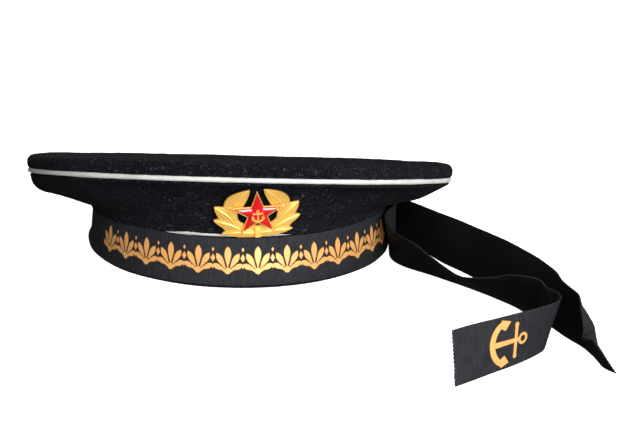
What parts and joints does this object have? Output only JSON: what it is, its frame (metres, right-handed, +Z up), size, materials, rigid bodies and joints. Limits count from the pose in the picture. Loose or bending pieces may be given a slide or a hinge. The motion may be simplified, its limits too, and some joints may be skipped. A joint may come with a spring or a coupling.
{
  "type": "sailor cap",
  "caption": "Peakless round sailor cap of navy wool cloth with white corded piping, a cap ribbon with two loose tails and a gilt wreath cockade with an enamel star.",
  "frame": {"origin": "on the floor, below the middle of the cap with its tails", "axes": "+Z up; the cap's front, with the cockade, looks towards -Y; the tails lie towards +X and -Y"},
  "size_m": [0.3072, 0.4024, 0.0864],
  "materials": {
    "wool": "napped navy wool cloth",
    "piping": "off-white cotton cord",
    "ribbon": "ribbed black silk ribbon",
    "gilt": "satin gilt",
    "enamel": "glossy red enamel"
  },
  "bodies": {
    "root": {"crown_top": "wool", "crown_side": "wool", "band": "wool", "crown_piping": "piping", "band_piping": "piping", "ribbon_band": "ribbon", "ribbon_tail_near": "ribbon", "ribbon_tail_far": "ribbon", "cockade_wreath": "gilt", "cockade_star": "gilt", "star_figure": "gilt", "star_enamel": "enamel"}
  },
  "joints": []
}
